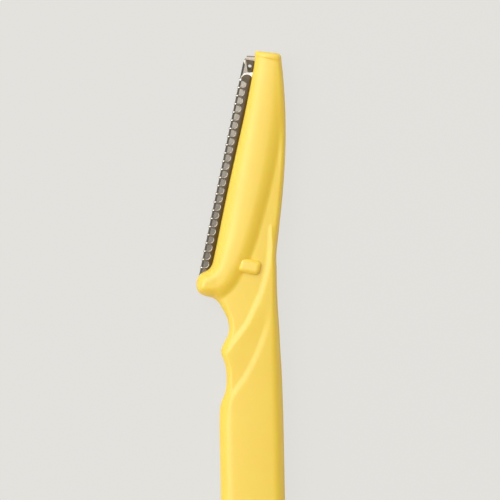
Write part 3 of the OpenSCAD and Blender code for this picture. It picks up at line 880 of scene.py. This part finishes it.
# Studio
# A pale floor under the razor, one soft panel to the upper left and one above, in a tent that is
# dimmer and warmer to the lower right.
backdrop = (0.767, 0.759, 0.73)
glow_share = 0.92
floor_mesh = bmesh.new()
bmesh.ops.create_grid(floor_mesh, x_segments=1, y_segments=1, size=3)
floor_paper = bpy.data.materials.new("floor_paper")
floor_paper.use_nodes = True
nodes, links = floor_paper.node_tree.nodes, floor_paper.node_tree.links
nodes.remove(nodes["Principled BSDF"])
paper = nodes.new("ShaderNodeBsdfDiffuse")
paper.inputs["Color"].default_value = (*backdrop, 1)
glow = nodes.new("ShaderNodeEmission")
glow.inputs["Color"].default_value = (*backdrop, 1)
seen = nodes.new("ShaderNodeLightPath")
share = nodes.new("ShaderNodeMath")
share.operation = "MULTIPLY"
share.inputs[1].default_value = glow_share
mix = nodes.new("ShaderNodeMixShader")
links.new(seen.outputs["Is Camera Ray"], share.inputs[0])
links.new(share.outputs[0], mix.inputs[0])
links.new(paper.outputs[0], mix.inputs[1])
links.new(glow.outputs[0], mix.inputs[2])
links.new(mix.outputs[0], nodes["Material Output"].inputs["Surface"])
floor = as_piece(floor_mesh, "floor", floor_paper)

world = bpy.data.worlds.new("studio")
scene.world = world
world.use_nodes = True
sky, sky_links = world.node_tree.nodes, world.node_tree.links
toward = sky.new("ShaderNodeTexCoord")
height = sky.new("ShaderNodeSeparateXYZ")
tent = sky.new("ShaderNodeMapRange")
tent.interpolation_type = "SMOOTHSTEP"
tent.inputs["From Min"].default_value = 0.45
tent.inputs["From Max"].default_value = 0.9
tent.inputs["To Min"].default_value = 0.85
tent.inputs["To Max"].default_value = 0.66
lit_side = sky.new("ShaderNodeMapRange")
lit_side.inputs["From Min"].default_value = -1
lit_side.inputs["To Min"].default_value = 1.2
lit_side.inputs["To Max"].default_value = 0.37
lower_right = sky.new("ShaderNodeVectorMath")
lower_right.operation = "DOT_PRODUCT"
lower_right.inputs[1].default_value = (0.7, -0.7, 0)
shade = sky.new("ShaderNodeMapRange")
shade.inputs["From Min"].default_value = -0.2
shade.inputs["From Max"].default_value = 0.8
cloth = sky.new("ShaderNodeMix")
cloth.data_type = "RGBA"
cloth.inputs["A"].default_value = (1, 0.99, 0.97, 1)
cloth.inputs["B"].default_value = (1, 0.77, 0.46, 1)
both = sky.new("ShaderNodeMath")
both.operation = "MULTIPLY"
sky_links.new(toward.outputs["Generated"], height.inputs["Vector"])
sky_links.new(height.outputs["Z"], tent.inputs["Value"])
sky_links.new(toward.outputs["Generated"], lower_right.inputs[0])
sky_links.new(lower_right.outputs["Value"], lit_side.inputs["Value"])
sky_links.new(lower_right.outputs["Value"], shade.inputs["Value"])
sky_links.new(shade.outputs["Result"], cloth.inputs["Factor"])
sky_links.new(cloth.outputs["Result"], sky["Background"].inputs["Color"])
sky_links.new(tent.outputs["Result"], both.inputs[0])
sky_links.new(lit_side.outputs["Result"], both.inputs[1])
sky_links.new(both.outputs[0], sky["Background"].inputs["Strength"])


def hang_panel(name, width, length, radiance, distance, from_above, turn, colour):
    """A soft panel that faces the head, at an angle from straight above."""
    lamp = bpy.data.lights.new(name, "AREA")
    lamp.shape = "RECTANGLE"
    lamp.size = length
    lamp.size_y = width
    lamp.energy = radiance * math.pi * width * length
    lamp.color = colour
    stand = bpy.data.objects.new(name, lamp)
    scene.collection.objects.link(stand)
    aim = Vector((0, grip_y + grip_len, 0))
    way = Vector((math.sin(from_above) * math.cos(turn), math.sin(from_above) * math.sin(turn),
                  math.cos(from_above)))
    across = Vector((-math.sin(turn), math.cos(turn), 0))
    turned = Matrix((across, way.cross(across), way)).transposed()
    stand.matrix_world = Matrix.LocRotScale(aim + way * distance, turned, None)


hang_panel("top_panel", width=0.6, length=0.6, radiance=1.6, distance=1.2,
           from_above=math.radians(16), turn=math.radians(90), colour=(1, 0.99, 0.97))
hang_panel("left_panel", width=0.45, length=1.1, radiance=2.5, distance=0.9,
           from_above=math.radians(36), turn=math.radians(152), colour=(1, 0.98, 0.94))

# Camera
# Straight above the head and grip, with the handle leaning a little to the left. The picture is
# 85 mm wide at the height of the blade.
photo_scale = 0.17 * mm
photo_lean = math.radians(1.14)
axis_pixel = (251.5, 426.0)
frame_pixels = 500
camera_height = 0.9
right = (frame_pixels / 2 - axis_pixel[0]) * photo_scale
down = (frame_pixels / 2 - axis_pixel[1]) * photo_scale
camera = bpy.data.cameras.new("camera")
camera.sensor_width = 36
camera.lens = camera.sensor_width * (camera_height - half_t) / (frame_pixels * photo_scale)
camera_stand = bpy.data.objects.new("camera", camera)
scene.collection.objects.link(camera_stand)
camera_stand.location = (
    right * math.cos(photo_lean) - down * math.sin(photo_lean),
    grip_y - right * math.sin(photo_lean) - down * math.cos(photo_lean),
    camera_height,
)
camera_stand.rotation_euler = (0, 0, -photo_lean)
scene.camera = camera_stand
scene.view_settings.view_transform = "Standard"
